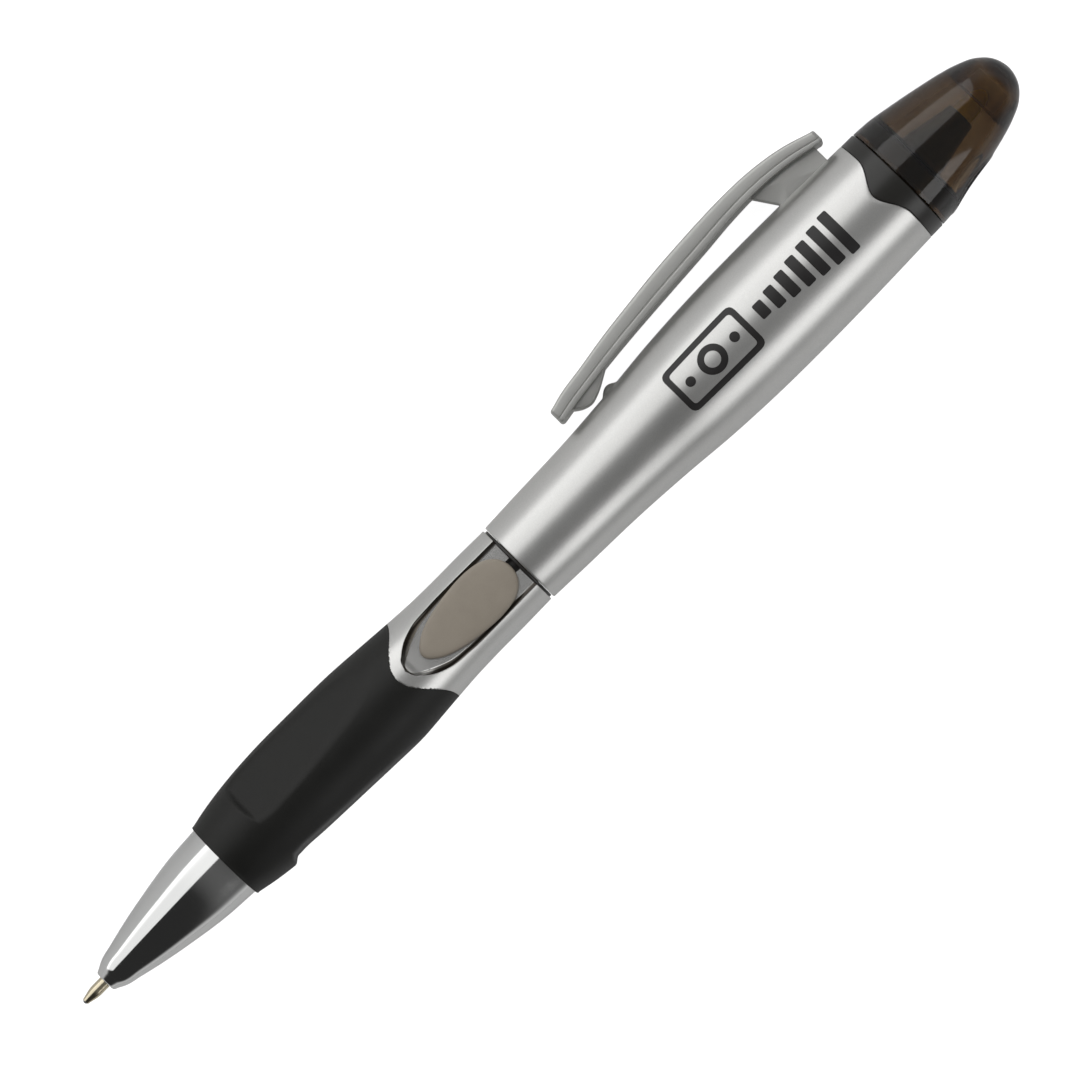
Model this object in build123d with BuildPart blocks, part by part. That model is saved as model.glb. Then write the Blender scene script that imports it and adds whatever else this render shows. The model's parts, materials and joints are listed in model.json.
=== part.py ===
from build123d import *
import os
from math import cos, radians, sin

# A two-ended counterfeit detector pen: a twist-action ballpoint at one end and a
# banknote-testing marker under a smoke cap at the other.
#
# Every piece is drawn upright on the pen's own axis: +Z runs from the ball at z = 0 to the
# crown of the cap, +X is the clip's side and +Y is the side that carries the front inlay.
# The last section lays the finished pen on its clip and barrel, the way it rests on a desk.
# Sizes are millimetres.

# ---- driving dimensions, heights along the pen ----
pen_length = 146.0
nose_z = 3.35            # open end of the chrome nose
grip_z = 22.2            # nose meets the grip and the lower barrel's sleeve
wave_low_z = 50.0        # grip's upper edge, front and back
wave_rise = 3.5          # how much higher that edge is at the sides
seam_z = 68.35           # top of the lower barrel
seam_gap = 0.35          # room that the seam washer fills
rim_z = 126.5            # top rim of the upper barrel
parting_z = 128.45       # mouth of the cap
parting_gap = 0.1        # room under the seated cap

# ---- radii ----
sleeve_r = 4.6           # lower barrel's sleeve under the grip
guide_r, guide_bore_r = 3.0, 2.4
cam_r = 4.3
tube_r, tube_bore_r = 5.3, 4.7
rim_r = 7.1              # barrel and collar where they meet
spigot_r = 5.9
neck_r = 5.2
nib_r = 1.3
refill_r = 1.15
running_gap = 0.08       # radial play of the turning and sliding fits

# ---- twist action ----
travel = 6.0             # how far the writing tip draws back
twist = 180.0            # turn of the front section that does it
lug_z = 73.0             # lug's height with the tip out
lug_r = 0.7
lug_reach = 3.7          # radius that the lug's end reaches
groove_r = 3.85          # bottom of the helical groove
groove_side = 0.15       # play beside the lug

# ---- clip ----
clip_width, clip_foot_width = 4.8, 3.8
web_width = 2.0
web_low_z, web_high_z = 117.1, 124.5
web_inner_r = 6.1
slot_play = 0.2

# ---- resting attitude ----
rest_roll = 25.9         # clip below the level of the axis
rest_tilt = 0.98         # writing end lower than the cap end

# Outer outlines as (radius, height), the few points that each curve needs.
nose_line = [(1.3, nose_z), (1.93, 4.5), (3.0, 8.9), (4.25, 15.5), (4.9, grip_z)]
front_line = [
    (5.1, grip_z), (5.55, 24.4), (6.1, 28.5), (6.38, 33.0), (6.4, 39.0), (6.3, 45.0),
    (6.02, 49.0), (5.69, 53.3), (5.48, 56.5), (5.39, 60.0), (5.39, 64.0), (5.33, seam_z),
]
barrel_line = [
    (5.4, seam_z + seam_gap), (5.57, 73.2), (5.86, 82.1), (6.3, 88.7), (6.9, 95.4),
    (7.25, 102.0), (7.37, 110.0), (7.3, 118.0), (rim_r, rim_z),
]
cap_line = [(7.05, parting_z), (6.86, 130.9), (6.08, 135.3), (5.1, 139.8), (3.5, 144.2), (0, pen_length)]

pieces = []


def keep(piece, label):
    """Name a finished piece and put it on the list that is written at the end."""
    piece.label = label
    pieces.append(piece)


# ---- writing ball and refill ----
ball_r = 0.35
socket_r = ball_r + 0.015
tip_end_z = 0.22
shoulder_z = 5.3
tip_top_z, tube_low_z = 14.0, 10.5
needle_r, crimp_r = 0.725, 0.39
ink_way_r = 0.2
refill_top_z = 67.0
refill_wall = 0.2
ink_top_z, follower_top_z = 52.0, 57.0

with BuildPart() as writing_ball:
    with Locations((0, 0, ball_r)):
        Sphere(ball_r)
keep(writing_ball.part, "writing_ball")

with BuildPart() as refill_tip:
    with BuildSketch(Plane.XZ):
        with BuildLine():
            Polyline(
                (0, tip_end_z), (crimp_r, tip_end_z), (needle_r, 1.7), (needle_r, shoulder_z),
                (refill_r, shoulder_z + 0.5), (refill_r, tube_low_z),
                (refill_r - refill_wall, tube_low_z), (refill_r - refill_wall, tip_top_z),
                (0, tip_top_z), (0, tip_end_z),
            )
        make_face()
    revolve(axis=Axis.Z)
    with Locations((0, 0, ball_r)):
        Sphere(socket_r, mode=Mode.SUBTRACT)
    with Locations((0, 0, ball_r)):
        Cylinder(ink_way_r, tip_top_z, align=(Align.CENTER, Align.CENTER, Align.MIN), mode=Mode.SUBTRACT)
keep(refill_tip.part, "refill_tip")


def plain_tube(outer_r, inner_r, low_z, high_z):
    """A straight tube, or a rod where the inner radius is 0, between two heights."""
    with BuildPart() as tube:
        with BuildSketch(Plane.XY.offset(low_z)):
            Circle(outer_r)
            if inner_r > 0:
                Circle(inner_r, mode=Mode.SUBTRACT)
        extrude(amount=high_z - low_z)
    return tube.part


keep(plain_tube(refill_r, refill_r - refill_wall, tube_low_z, refill_top_z), "refill_tube")
keep(plain_tube(refill_r - refill_wall, 0, tip_top_z, ink_top_z), "refill_ink")
keep(plain_tube(refill_r - refill_wall, 0, ink_top_z, follower_top_z), "ink_follower")

# ---- refill carrier: a rod that slides in the guide tube, with the lug that the cam drives ----
carrier_low_z, carrier_high_z = 62.0, 78.0

with BuildPart() as refill_carrier:
    with BuildSketch(Plane.XY.offset(carrier_low_z)):
        Circle(guide_bore_r - running_gap)
    extrude(amount=carrier_high_z - carrier_low_z)
    chamfer(refill_carrier.edges().filter_by(GeomType.CIRCLE), 0.3)
    with BuildSketch(Plane.XY.offset(carrier_low_z)):
        Circle(refill_r)
    extrude(amount=refill_top_z - carrier_low_z, mode=Mode.SUBTRACT)
    with BuildSketch(Plane(origin=(0, 0, lug_z), x_dir=(0, 1, 0), z_dir=(1, 0, 0))):
        Circle(lug_r)
    extrude(amount=lug_reach)
keep(refill_carrier.part, "refill_carrier")

# ---- guide tube: turns with the front, keeps the lug upright in its slot ----
guide_low_z, guide_high_z = 55.0, 90.0
ring_low_z, ring_height = 87.7, 0.7
ring_seat_r, ring_r = 2.72, 3.9
slot_half_width = lug_r + 0.1

with BuildPart() as guide_tube:
    with BuildSketch(Plane.XY.offset(guide_low_z)):
        Circle(guide_r)
        Circle(guide_bore_r, mode=Mode.SUBTRACT)
    extrude(amount=guide_high_z - guide_low_z)
    with BuildSketch(Plane(origin=(0, 0, lug_z + travel / 2), x_dir=(0, 0, 1), z_dir=(1, 0, 0))):
        SlotCenterToCenter(travel, 2 * slot_half_width)
    extrude(amount=guide_r + 1, mode=Mode.SUBTRACT)
    with BuildSketch(Plane.XY.offset(ring_low_z)):
        Circle(guide_r + 1)
        Circle(ring_seat_r, mode=Mode.SUBTRACT)
    extrude(amount=ring_height, mode=Mode.SUBTRACT)
keep(guide_tube.part, "guide_tube")

# ---- retaining ring: an open spring ring that holds the two halves together ----
with BuildPart() as retaining_ring:
    with BuildSketch(Plane.XY.offset(ring_low_z)):
        Circle(ring_r)
        Circle(ring_seat_r, mode=Mode.SUBTRACT)
        with Locations((0, -ring_r)):
            Rectangle(2.6, 2 * ring_r, mode=Mode.SUBTRACT)
    extrude(amount=ring_height)
keep(retaining_ring.part, "retaining_ring")

# ---- cam sleeve: fixed in the upper barrel, its inner groove climbs 6 mm in half a turn ----
cam_low_z, cam_high_z = 71.0, ring_low_z - 0.1
groove_mid_r = (guide_r + groove_r) / 2
groove_half_width = lug_r + groove_side

with BuildLine() as groove_path:
    Helix(pitch=travel * 360 / twist, height=travel, radius=groove_mid_r, center=(0, 0, lug_z))

with BuildPart() as cam_sleeve:
    with BuildSketch(Plane.XY.offset(cam_low_z)):
        Circle(cam_r)
        Circle(guide_r + running_gap, mode=Mode.SUBTRACT)
    extrude(amount=cam_high_z - cam_low_z)
    start = groove_path.line
    with BuildSketch(Plane(origin=start @ 0, x_dir=(1, 0, 0), z_dir=start % 0)):
        Rectangle(groove_r - guide_r + 0.6, 2 * groove_half_width)
    sweep(path=groove_path.line, is_frenet=True, mode=Mode.SUBTRACT)
    for height, turn in ((lug_z, 0), (lug_z + travel, twist)):
        out = (cos(radians(turn)), sin(radians(turn)), 0)
        with BuildSketch(Plane(origin=(0, 0, height), x_dir=(0, 0, 1), z_dir=out)):
            Circle(groove_half_width)
        extrude(amount=groove_r, mode=Mode.SUBTRACT)
keep(cam_sleeve.part, "cam_sleeve")

# ---- chrome nose: screwed into the lower barrel ----
nose_hole_r, nose_bore_r = 0.9, 1.45
nose_spigot_r, nose_spigot_z = 3.9, 31.0

with BuildPart() as nose_cone:
    with BuildSketch(Plane.XZ):
        with BuildLine():
            outer = Spline(*nose_line)
            Polyline(
                nose_line[-1], (nose_spigot_r, grip_z), (nose_spigot_r, nose_spigot_z),
                (2.4, nose_spigot_z), (2.4, 14.0), (nose_bore_r, 13.0), (nose_bore_r, 5.2),
                (nose_hole_r, 4.6), (nose_hole_r, nose_z), nose_line[0],
            )
        make_face()
    revolve(axis=Axis.Z)
keep(nose_cone.part, "nose_cone")


# ---- front section: one outline shared by the silver lower barrel and the rubber grip ----
def wave_block(far_z):
    """A block from the grip's wavy upper edge to a far height, wider than the pen and through it.

    Seen from the front the edge is low in the middle and swings up to level off at the sides. The
    shares are how far it has risen at each distance from the middle.
    """
    reach = 9.0
    shares = [(2.0, 0.205), (3.4, 0.555), (4.4, 0.81), (5.85, 1.0), (reach, 1.0)]
    rise = [(x, wave_low_z + wave_rise * share) for x, share in shares]
    edge = [(-x, z) for x, z in reversed(rise)] + [(0, wave_low_z)] + rise
    with BuildPart() as block:
        with BuildSketch(Plane.XZ.offset(-reach)):
            with BuildLine():
                Spline(*edge, tangents=[(1, 0), (1, 0)])
                Polyline(edge[-1], (reach, far_z), (-reach, far_z), edge[0])
            make_face()
        extrude(amount=2 * reach)
    return block.part


def front_outline(inner_r, low_z):
    """The full front outline as a ring from an inner radius out to the visible surface."""
    with BuildPart() as ring:
        with BuildSketch(Plane.XZ):
            with BuildLine():
                Spline(*front_line)
                Polyline(front_line[-1], (inner_r, seam_z), (inner_r, low_z), front_line[0])
            make_face()
        revolve(axis=Axis.Z)
    return ring.part


recess_floor = 3.9       # distance of the flat recess floor from the axis
recess_low_z = 51.3      # pointed lower end of the recess
ramp_end_r = 5.2         # the floor climbs to this distance at that end
ramp = 2.5               # length of the climb
recess_edge = [
    (0.0, recess_low_z), (1.9, 53.0), (2.95, 55.0), (3.42, 58.0), (3.55, 62.0), (3.5, 66.0), (3.5, seam_z + 1),
]
notch_width, notch_depth = 1.7, 0.8
sleeve_bore_r = 2.8      # bore between the nose's spigot and the guide tube


def face_on(side, distance):
    """A plane that faces the front (1) or the back (-1) inlay; its y runs down the pen."""
    return Plane(origin=(0, side * distance, 0), x_dir=(side, 0, 0), z_dir=(0, side, 0))


def recess_block(side):
    """One recess: a boat outline, pointed at its lower end, over a floor that ends in a ramp."""
    low_floor = (side * ramp_end_r, recess_low_z)
    flat_floor = (side * recess_floor, recess_low_z + ramp)
    right = [(x, -z) for x, z in recess_edge]
    left = [(-x, y) for x, y in reversed(right[1:])]
    with BuildPart() as block:
        with BuildSketch(Plane.YZ.offset(-8)):
            with BuildLine():
                TangentArc(flat_floor, low_floor, tangent=(0, -1))
                Polyline(
                    low_floor, (low_floor[0], recess_low_z - 1), (side * 8, recess_low_z - 1),
                    (side * 8, seam_z + 1), (flat_floor[0], seam_z + 1), flat_floor,
                )
            make_face()
        extrude(amount=16)
        with BuildSketch(face_on(side, recess_floor - 0.5)):
            with BuildLine():
                Spline(*left, *right)
                Line(right[-1], left[0])
            make_face()
        extrude(amount=4, mode=Mode.INTERSECT)
    return block.part


with BuildPart() as lower_barrel:
    add(front_outline(guide_bore_r, grip_z))
    add(wave_block(grip_z - 5), mode=Mode.SUBTRACT)
    with BuildSketch(Plane.XY.offset(grip_z)):
        Circle(sleeve_r)
    extrude(amount=wave_low_z + wave_rise - grip_z)
    # bores for the nose's spigot, the refill and the guide tube
    for bore_r, low_z, high_z in (
        (nose_spigot_r, grip_z, nose_spigot_z),
        (sleeve_bore_r, nose_spigot_z, guide_low_z),
        (guide_r, guide_low_z, seam_z),
    ):
        with BuildSketch(Plane.XY.offset(low_z)):
            Circle(bore_r)
        extrude(amount=high_z - low_z, mode=Mode.SUBTRACT)
    # the two recesses, each with a ramp at its lower end, and the notch at the seam
    for side in (1, -1):
        add(recess_block(side), mode=Mode.SUBTRACT)
    with BuildSketch(Plane.XY.offset(seam_z)):
        with Locations((0, 4.0), (0, -4.0)):
            Rectangle(notch_width, 3.0)
    extrude(amount=-notch_depth, mode=Mode.SUBTRACT)
keep(lower_barrel.part, "lower_barrel")

# ---- rubber grip with three finger flats ----
scoop_angles = (60, 180, 300)
scoop_line = [(5.18, 28.2), (5.35, 32.5), (5.7, 40.0), (6.15, 46.6), (6.6, 50.5)]
scoop_lip_z = 27.4

with BuildPart() as grip:
    add(front_outline(sleeve_r, grip_z))
    add(wave_block(seam_z + 5), mode=Mode.SUBTRACT)
    for angle in scoop_angles:
        across = (-sin(radians(angle)), cos(radians(angle)), 0)
        facing = Plane(origin=(0, 0, 0), x_dir=(cos(radians(angle)), sin(radians(angle)), 0), z_dir=across)
        with BuildSketch(facing.offset(-7)):
            with BuildLine():
                Spline(*[(r, -z) for r, z in scoop_line])
                Polyline(
                    (scoop_line[-1][0], -scoop_line[-1][1]), (8.5, -scoop_line[-1][1]),
                    (8.5, -scoop_lip_z), (6.3, -scoop_lip_z), (scoop_line[0][0], -scoop_line[0][1]),
                )
            make_face()
        extrude(amount=14, mode=Mode.SUBTRACT)
keep(grip.part, "grip")


# ---- egg-shaped inlays that fill the two recesses ----
inlay_height, inlay_round = 0.95, 0.3
egg_low_z, egg_high_z = 53.8, 67.75
egg_right = [
    (1.0, 54.3), (1.95, 55.75), (2.65, 58.05), (3.03, 60.75), (3.15, 63.45), (2.75, 65.75), (1.65, 67.25),
]


def inlay(side, label):
    """A pad with an egg outline on the recess floor, blunt at the seam, with its edge rounded."""
    right = [(x, -z) for x, z in egg_right]
    left = [(-x, y) for x, y in reversed(right)]
    with BuildPart() as pad:
        with BuildSketch(face_on(side, recess_floor)):
            with BuildLine():
                Spline((0, -egg_low_z), *right, (0, -egg_high_z), *left, periodic=True)
            make_face()
        extrude(amount=inlay_height)
        fillet(pad.faces().sort_by(Axis.Y)[-1 if side > 0 else 0].edges(), inlay_round)
    keep(pad.part, label)


inlay(1, "front_inlay")
inlay(-1, "back_inlay")

# ---- seam washer ----
washer_r = 5.05
keep(plain_tube(washer_r, guide_r, seam_z, seam_z + seam_gap - 0.05), "seam_washer")

# ---- upper barrel, with a rounded V across its rim, point down ----
notch_half_width = 4.2
tongue_depth = 1.7
marker_floor_z = 92.0
spigot_low_z = 118.0
bump_z, bump_r = 89.3, 1.1


with BuildPart() as tongue_block:
    with BuildSketch(Plane.XZ.offset(-9)):
        with BuildLine():
            Spline(
                (-notch_half_width, rim_z), (-notch_half_width / 2, rim_z - tongue_depth / 2),
                (0, rim_z - tongue_depth), (notch_half_width / 2, rim_z - tongue_depth / 2),
                (notch_half_width, rim_z), tangents=[(1, 0), (1, 0)],
            )
            Polyline(
                (notch_half_width, rim_z), (notch_half_width, rim_z + 3),
                (-notch_half_width, rim_z + 3), (-notch_half_width, rim_z),
            )
        make_face()
    extrude(amount=18)


with BuildPart() as barrel_skin:
    with BuildSketch(Plane.XZ):
        with BuildLine():
            Spline(*barrel_line)
            Polyline(
                barrel_line[-1], (spigot_r, rim_z), (spigot_r, spigot_low_z), (tube_r + 0.1, spigot_low_z),
                (tube_r + 0.1, marker_floor_z), (cam_r, marker_floor_z), (cam_r, cam_low_z),
                (guide_r + running_gap, cam_low_z), (guide_r + running_gap, seam_z + seam_gap),
                barrel_line[0],
            )
        make_face()
    revolve(axis=Axis.Z)

with BuildPart() as upper_barrel:
    add(barrel_skin.part)
    add(tongue_block.part, mode=Mode.SUBTRACT)
    # slot for the clip's web
    with BuildSketch(Plane.XY.offset(web_low_z - slot_play)):
        with Locations((6.5, 0)):
            Rectangle(3.0, web_width + 2 * slot_play)
    extrude(amount=web_high_z - web_low_z + 2 * slot_play, mode=Mode.SUBTRACT)
    # small stop bump under the clip
    with Locations((5.75, 0, bump_z)):
        Sphere(bump_r)
    with BuildSketch(Plane.XY.offset(bump_z - 2)):
        Circle(cam_r)
    extrude(amount=marker_floor_z - bump_z + 2, mode=Mode.SUBTRACT)
keep(upper_barrel.part, "upper_barrel")

# ---- smoke collar: spigot in the barrel, two tongues in its V notches, neck in the cap ----
holder_seat_r = 3.0
neck_top_z = 131.2
tube_top_z = 124.0

with BuildPart() as tongues:
    add(barrel_skin.part)
    add(tongue_block.part, mode=Mode.INTERSECT)

with BuildPart() as marker_collar:
    with BuildSketch(Plane.XZ):
        with BuildLine():
            Polyline(
                (holder_seat_r, tube_top_z), (tube_r, tube_top_z), (tube_r, spigot_low_z),
                (spigot_r, spigot_low_z), (spigot_r, rim_z), (rim_r, rim_z),
                (rim_r - 0.03, parting_z - parting_gap), (neck_r, parting_z - parting_gap),
                (neck_r, neck_top_z - 0.4), (neck_r - 0.4, neck_top_z), (holder_seat_r, neck_top_z),
                (holder_seat_r, tube_top_z),
            )
        make_face()
    revolve(axis=Axis.Z)
    add(tongues.part)
keep(marker_collar.part, "marker_collar")

# ---- marker: tube, plug, felt reservoir, nib holder and nib ----
plug_high_z = 95.5
reservoir_low_z, reservoir_high_z = 96.0, 121.5
nib_low_z = 116.0
flange_z = 122.0         # flange of the nib holder in the tube's upper end
holder_cone_z, holder_end_z = 131.6, 138.3

keep(plain_tube(tube_r, tube_bore_r, marker_floor_z, tube_top_z), "marker_tube")

with BuildPart() as marker_plug:
    with BuildSketch(Plane.XY.offset(marker_floor_z)):
        Circle(tube_bore_r)
    extrude(amount=plug_high_z - marker_floor_z)
    with BuildSketch(Plane.XY.offset(marker_floor_z)):
        Circle(tube_bore_r - 1.2)
    extrude(amount=2.0, mode=Mode.SUBTRACT)
keep(marker_plug.part, "marker_plug")

with BuildPart() as marker_reservoir:
    with BuildSketch(Plane.XY.offset(reservoir_low_z)):
        Circle(tube_bore_r - 0.15)
    extrude(amount=reservoir_high_z - reservoir_low_z)
    with BuildSketch(Plane.XY.offset(nib_low_z)):
        Circle(nib_r)
    extrude(amount=reservoir_high_z - nib_low_z, mode=Mode.SUBTRACT)
keep(marker_reservoir.part, "marker_reservoir")

with BuildPart() as nib_holder:
    with BuildSketch(Plane.XZ):
        with BuildLine():
            Polyline(
                (nib_r, flange_z), (tube_bore_r, flange_z), (tube_bore_r, tube_top_z),
                (holder_seat_r, tube_top_z), (holder_seat_r, neck_top_z), (3.5, neck_top_z), (3.5, holder_cone_z),
                (2.0, holder_end_z - 1.7), (1.75, holder_end_z), (nib_r, holder_end_z), (nib_r, flange_z),
            )
        make_face()
    revolve(axis=Axis.Z)
keep(nib_holder.part, "nib_holder")

nib_top_z = 141.6
with BuildPart() as marker_nib:
    with BuildSketch(Plane.XZ):
        with BuildLine():
            Polyline((0, nib_top_z), (0, nib_low_z), (nib_r, nib_low_z), (nib_r, 139.4))
            Spline((nib_r, 139.4), (1.05, 140.7), (0, nib_top_z), tangents=[(0, 1), (-1, 0)])
        make_face()
    revolve(axis=Axis.Z)
keep(marker_nib.part, "marker_nib")

# ---- cap with a blind oval recess on the side away from the clip ----
cap_fit_r = neck_r + running_gap
cap_cavity = [
    (cap_fit_r, parting_z), (cap_fit_r, 131.6), (4.9, 132.6), (3.9, 138.0), (3.3, 140.2),
    (2.5, 140.4), (2.3, 143.6), (0, 143.6),
]
recess_centre_z, recess_length, recess_width = 133.85, 6.9, 3.6

with BuildPart() as marker_cap:
    with BuildSketch(Plane.XZ):
        with BuildLine():
            Spline(*cap_line, tangents=[(-0.05, 1), (-1, 0)])
            Polyline(cap_line[-1], *reversed(cap_cavity), cap_line[0])
        make_face()
    revolve(axis=Axis.Z)
    recess_plane = Plane(origin=(-6.35, 0, recess_centre_z), x_dir=(0, 1, 0), z_dir=(-1, 0, 0.2))
    with BuildSketch(recess_plane.offset(-0.65)):
        Ellipse(recess_width / 2, recess_length / 2)
    extrude(amount=3, mode=Mode.SUBTRACT)
keep(marker_cap.part, "marker_cap")

# ---- clip: an arched plate with a web at the top and a foot at the free end ----
clip_outer = [(9.15, 83.1), (10.0, 86.5), (11.0, 93.2), (11.8, 99.8), (12.4, 110.0),
              (12.2, 117.6), (11.4, 122.3), (10.2, 125.4)]
clip_inner = [(8.8, 125.4), (9.6, 122.0), (10.1, 116.5), (9.8, 110.0), (9.2, 100.5), (8.45, 91.0),
              (7.4, 82.95)]
foot_width = 2.8

with BuildPart() as clip:
    # the arched plate, narrower towards its free end
    with BuildSketch(Plane.XZ):
        with BuildLine():
            Spline(*clip_outer)
            Line(clip_outer[-1], clip_inner[0])
            Spline(*clip_inner)
            Line(clip_inner[-1], clip_outer[0])
        make_face()
    extrude(amount=clip_width / 2, both=True)
    for side in (1, -1):
        with BuildSketch(Plane.YZ):
            with BuildLine():
                Polyline(
                    (side * clip_foot_width / 2, 82), (side * clip_width, 82), (side * clip_width, 114),
                    (side * clip_width / 2, 114), (side * clip_foot_width / 2, 82),
                )
            make_face()
        extrude(amount=15, mode=Mode.SUBTRACT)
    long_edges = clip.edges().filter_by(lambda e: e.length > 20).sort_by(SortBy.DISTANCE)[-4:]
    fillet(long_edges, 0.35)
    # the foot that grips a pocket against the barrel
    with BuildSketch(Plane.XZ):
        with BuildLine():
            Polyline((7.9, 84.4), (9.0, 84.4), (9.0, 91.1), (8.5, 91.1), (7.1, 88.3))
            Spline((7.1, 88.3), (6.6, 86.9), (7.1, 85.4), tangents=[(-0.45, -1), (0.5, -1)])
            Line((7.1, 85.4), (7.9, 84.4))
        make_face()
    extrude(amount=foot_width / 2, both=True)
    # the web that enters the barrel
    with BuildSketch(Plane.XZ):
        with BuildLine():
            Polyline(
                (10.4, 115.0), (7.45, web_low_z), (web_inner_r, web_low_z), (web_inner_r, web_high_z),
                (9.6, web_high_z), (10.4, 115.0),
            )
        make_face()
    extrude(amount=web_width / 2, both=True)
keep(clip.part, "clip")

# ---- lay the pen down on its barrel, grip and clip, and write every piece ----
roll = radians(rest_roll)
upright_to_lying = Plane(origin=(0, 0, 0), x_dir=(0, -cos(roll), -sin(roll)), z_dir=(-1, 0, 0)).location
turned = Location((0, 0, 0), (0, rest_tilt, 0)) * upright_to_lying
box = Compound(children=[piece.moved(turned) for piece in pieces]).bounding_box()
resting = Location((-box.center().X, -box.center().Y, -box.min.Z)) * turned

os.makedirs("parts", exist_ok=True)
for piece in pieces:
    laid = piece.moved(resting)
    laid.label = piece.label
    export_step(laid, f"parts/{piece.label}.step")
print(len(pieces), "pieces,", "box", box.size)
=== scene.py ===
# %% [markdown]
# # A counterfeit detector pen, dressed in Blender
#
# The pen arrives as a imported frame: every moving body and every CAD piece already stands where it
# belongs. This lesson gives the pieces that the eye meets a finer surface, worked out as arrays, and
# gives every piece a procedural finish. The pieces inside keep their CAD shape.

# %% Load the frame
import json
import math

import bmesh
import bpy
import numpy as np
from mathutils import Matrix, Vector


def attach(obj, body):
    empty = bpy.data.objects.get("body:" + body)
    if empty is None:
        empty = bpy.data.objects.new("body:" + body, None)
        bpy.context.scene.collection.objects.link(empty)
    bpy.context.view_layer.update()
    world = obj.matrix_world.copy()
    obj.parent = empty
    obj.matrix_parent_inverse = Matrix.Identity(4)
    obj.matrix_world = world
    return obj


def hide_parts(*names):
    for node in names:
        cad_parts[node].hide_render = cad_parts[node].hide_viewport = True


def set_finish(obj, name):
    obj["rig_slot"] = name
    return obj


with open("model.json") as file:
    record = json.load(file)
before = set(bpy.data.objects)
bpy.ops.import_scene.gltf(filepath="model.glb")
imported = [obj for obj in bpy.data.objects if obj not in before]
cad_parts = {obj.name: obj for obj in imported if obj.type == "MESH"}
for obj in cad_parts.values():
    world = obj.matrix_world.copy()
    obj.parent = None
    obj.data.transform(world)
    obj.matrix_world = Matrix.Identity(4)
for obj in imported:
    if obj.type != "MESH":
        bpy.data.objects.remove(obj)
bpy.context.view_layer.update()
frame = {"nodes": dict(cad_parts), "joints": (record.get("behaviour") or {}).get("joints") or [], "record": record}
joints = {joint["name"]: joint for joint in frame["joints"]}

# %% [markdown]
# ## The pen's own axes
#
# The pen lies on a desk, tilted by about a degree, so its axis isn't one of the frame's axes. The
# joints say where it is: the twist turns about the pen's axis at the seam, and the clip flexes about
# a line across it. All shapes below are worked out upright, in millimetres, with z = 0 at the ball,
# +x on the clip's side and +y on the side of the front inlay. `lay` puts them down on the desk.

# %% Pen axes
SEAM, SEAM_GAP = 68.35, 0.35

up = np.array(joints["twist"]["axis"], float)
front = -np.array(joints["clip_flex"]["axis"], float)
side = np.cross(front, up)
pen_axes = np.stack([side, front, up])
ball_end = np.array(joints["twist"]["pos_m"], float) - up * SEAM / 1000


def lay(points):
    """Pen millimetres to frame metres: the ball's end plus x, y and z along the pen's three axes."""
    return ball_end + np.asarray(points, float) @ pen_axes / 1000


print("ball end at", ball_end.round(4), "pen points along", up.round(4))

# %% [markdown]
# ## Curves through a few points
#
# A turned part is known by a handful of radii. `fair` draws one smooth curve through them: between
# two points it is a cubic, and its slope at each point is that of the parabola through the point and
# its neighbours. `outline` runs the same curve through points of a plane, spaced by their distance.


# %% Fair curves
def fair(x, knots_x, knots_y):
    """A cubic through the knots; the slope at a knot is that of the parabola through its neighbours."""
    xs, ys = np.asarray(knots_x, float), np.asarray(knots_y, float)
    slope = np.gradient(ys, xs)
    i = np.clip(np.searchsorted(xs, x) - 1, 0, len(xs) - 2)
    h = xs[i + 1] - xs[i]
    t = np.clip((x - xs[i]) / h, 0, 1)
    start = ys[i] * (1 + 2 * t) * (1 - t) ** 2 + slope[i] * h * t * (1 - t) ** 2
    return start + ys[i + 1] * t * t * (3 - 2 * t) + slope[i + 1] * h * t * t * (t - 1)


def radius_at(z, line):
    """The radius of an outline of (radius, height) points at any heights z."""
    radii, heights = np.array(line, float).T
    return fair(z, heights, radii)


def smooth_min(a, b, k):
    """The smaller of a and b, lowered by up to a quarter of k where they differ by less than k."""
    h = np.clip(k - np.abs(a - b), 0, None) / k
    return np.minimum(a, b) - h * h * k / 4


def outline(points, count):
    """A smooth curve through points of a plane, cut into evenly spaced points."""
    p = np.array(points, float)
    s = np.r_[0, np.cumsum(np.linalg.norm(np.diff(p, axis=0), axis=1))]
    t = np.linspace(0, s[-1], count)
    return np.stack([fair(t, s, p[:, 0]), fair(t, s, p[:, 1])], 1)


def rounded(corners, radius, closed=False, steps=5):
    """A polyline with each corner replaced by a quarter-like arc, tangent to both of its sides.

    The arc is a quadratic blend: (1-t)^2 start + 2t(1-t) corner + t^2 end, where start and end lie
    one radius from the corner, or less than half of a shorter side.
    """
    p = np.array(corners, float)
    before = np.roll(p, 1, 0) - p
    after = np.roll(p, -1, 0) - p
    length_before = np.linalg.norm(before, axis=1, keepdims=True)
    length_after = np.linalg.norm(after, axis=1, keepdims=True)
    reach = np.broadcast_to(np.reshape(radius, (-1, 1)), (len(p), 1)).astype(float)
    reach = np.minimum(reach, 0.45 * np.minimum(length_before, length_after))
    if not closed:
        reach[[0, -1]] = 0
    start = p + before / length_before * reach
    end = p + after / length_after * reach
    t = np.linspace(0, 1, steps)[None, :, None]
    arcs = (1 - t) ** 2 * start[:, None] + 2 * t * (1 - t) * p[:, None] + t**2 * end[:, None]
    if closed:
        return arcs.reshape(-1, 2)
    return np.concatenate([p[0][None], arcs[1:-1].reshape(-1, 2), p[-1][None]])


# %% [markdown]
# ## From arrays to meshes
#
# A surface here is a grid of points: one direction runs along a profile, the other round the pen or
# along a path. `skin` joins neighbours with four-sided faces, closes what wraps round, welds the
# points that fall together at a pole, and turns the faces outwards: the volume that they enclose has
# to be positive. Sharp edges are kept sharp where faces meet at more than the given angle.


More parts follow.
